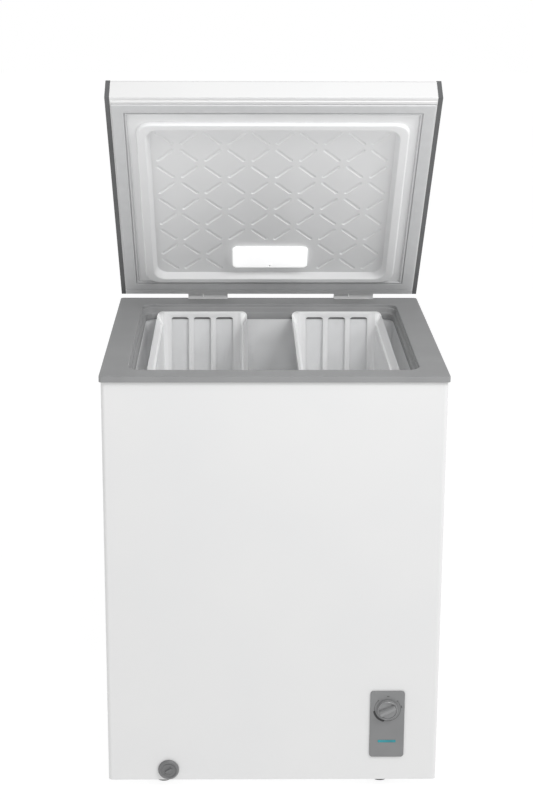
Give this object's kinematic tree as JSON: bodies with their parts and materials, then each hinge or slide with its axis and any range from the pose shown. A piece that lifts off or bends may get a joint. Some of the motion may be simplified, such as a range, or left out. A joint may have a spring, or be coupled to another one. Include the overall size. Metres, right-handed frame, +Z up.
{
  "type": "chest freezer",
  "caption": "Small chest freezer with a hinged lid held open, two lift-out baskets, a step over the compressor, a thermostat dial and a drain.",
  "frame": {"origin": "on the floor under the middle of the cabinet, which is the bottom centre of the box around the freezer with its lid open at rest", "axes": "+X to the right as seen from the front, +Y to the back, +Z up; the controls face -Y"},
  "size_m": [0.62, 0.5939, 1.2981],
  "materials": {
    "white_paint": "gloss",
    "galvanised": "satin",
    "liner_sheet": "satin",
    "foam": "matte",
    "grey_plastic": "satin",
    "dark_grey_plastic": "satin",
    "white_plastic": "satin",
    "lid_liner_plastic": "satin",
    "seal_rubber": "matte",
    "black_rubber": "matte",
    "black_enamel": "satin",
    "black_plastic": "satin",
    "copper": "satin",
    "aluminium_tube": "satin",
    "zinc_steel": "satin",
    "teal_lens": "gloss",
    "clear_white": "gloss",
    "circuit_board": "satin"
  },
  "bodies": {
    "cabinet": {"front_panel": "white_paint", "side_panel_left": "white_paint", "side_panel_right": "white_paint", "rear_panel": "white_paint", "base_pan": "galvanised", "insulation_foam": "foam", "inner_liner": "liner_sheet", "breaker_frame": "grey_plastic", "drain_tube": "white_plastic", "drain_spout": "grey_plastic", "foot_front_left": "black_plastic", "foot_front_right": "black_plastic", "foot_rear_left": "black_plastic", "foot_rear_right": "black_plastic", "control_panel": "grey_plastic", "indicator_lens": "teal_lens", "indicator_board": "circuit_board", "thermostat": "zinc_steel", "compressor_plate": "galvanised", "compressor_grommets": "black_rubber", "compressor_bolts": "zinc_steel", "compressor": "black_enamel", "terminal_cover": "black_plastic", "suction_pipe": "copper", "discharge_pipe": "copper", "filter_drier": "copper", "capillary_tube": "copper", "condenser_coil": "black_enamel", "evaporator_coil": "aluminium_tube", "side_grille": "white_plastic", "grille_screws": "zinc_steel", "cord_inlet": "black_plastic", "hinge_bracket_left": "white_paint", "hinge_bracket_right": "white_paint", "hinge_pin_left": "zinc_steel", "hinge_pin_right": "zinc_steel", "hinge_spring_left": "zinc_steel", "hinge_spring_right": "zinc_steel", "hinge_cover_left": "white_plastic", "hinge_cover_right": "white_plastic", "hinge_screws_cabinet": "zinc_steel"},
    "lid": {"lid_skin": "white_paint", "lid_cap_left": "dark_grey_plastic", "lid_cap_right": "dark_grey_plastic", "lid_liner": "lid_liner_plastic", "lid_foam": "foam", "lid_gasket": "seal_rubber", "lamp_cover": "clear_white", "lamp_holder": "white_plastic", "lamp_board": "circuit_board", "tilt_switch": "white_plastic", "hinge_leaf_left": "white_paint", "hinge_leaf_right": "white_paint", "hinge_screws_lid": "zinc_steel"},
    "thermostat_knob": {"thermostat_knob": "grey_plastic"},
    "drain_cap": {"drain_cap": "grey_plastic"},
    "drain_plug": {"drain_plug": "grey_plastic"},
    "basket_left": {"basket_left": "white_plastic"},
    "basket_right": {"basket_right": "white_plastic"}
  },
  "joints": [
    {"name": "lid_hinge", "type": "hinge", "parent": "cabinet", "child": "lid", "pos_m": [0, 0.2735, 0.82], "axis": [-1, 0, 0], "range_deg": [-53, 22]},
    {"name": "knob_turn", "type": "hinge", "parent": "cabinet", "child": "thermostat_knob", "pos_m": [0.213, -0.285, 0.1625], "axis": [0, 1, 0], "range_deg": [-180, 90]},
    {"name": "drain_cap_pull", "type": "slide", "parent": "cabinet", "child": "drain_cap", "axis": [0, -1, 0], "range_m": [0, 0.03]},
    {"name": "drain_plug_lift", "type": "slide", "parent": "cabinet", "child": "drain_plug", "axis": [0, 0, 1], "range_m": [0, 0.06]},
    {"name": "basket_left_lift", "type": "slide", "parent": "cabinet", "child": "basket_left", "axis": [0, 0, 1], "range_m": [0, 0.045]},
    {"name": "basket_right_lift", "type": "slide", "parent": "cabinet", "child": "basket_right", "axis": [0, 0, 1], "range_m": [0, 0.045]}
  ]
}
